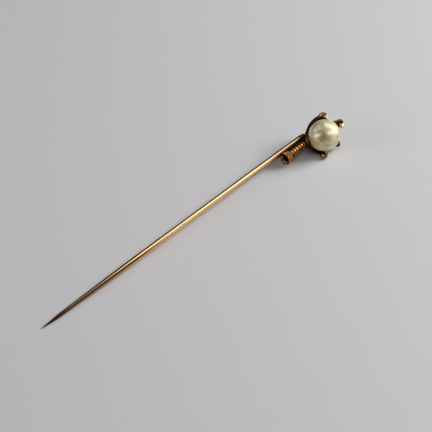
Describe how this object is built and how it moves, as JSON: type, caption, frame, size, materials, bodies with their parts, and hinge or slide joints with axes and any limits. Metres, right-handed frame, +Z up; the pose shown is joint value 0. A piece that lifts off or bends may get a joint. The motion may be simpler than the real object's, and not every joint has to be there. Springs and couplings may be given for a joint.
{
  "type": "stick pin",
  "caption": "Gold stick pin: a bird's claw on a ribbed leg with a flared cuff grips a pearl, beside the head of a long, straight, sharp stem.",
  "frame": {"origin": "on the surface that the pin lies on, under the middle of the pin's box", "axes": "+X along the stem towards the claw, +Z up from the surface, +Y towards the side on which the stem lies beside the leg"},
  "size_m": [0.0593, 0.0058, 0.0054],
  "materials": {
    "gold": "polished yellow gold with dark brown tarnish in its hollows",
    "pearl": "smooth cream nacre with a soft lustre and a brownish band"
  },
  "bodies": {
    "root": {"claw_pin": "gold", "pearl": "pearl"}
  },
  "joints": []
}
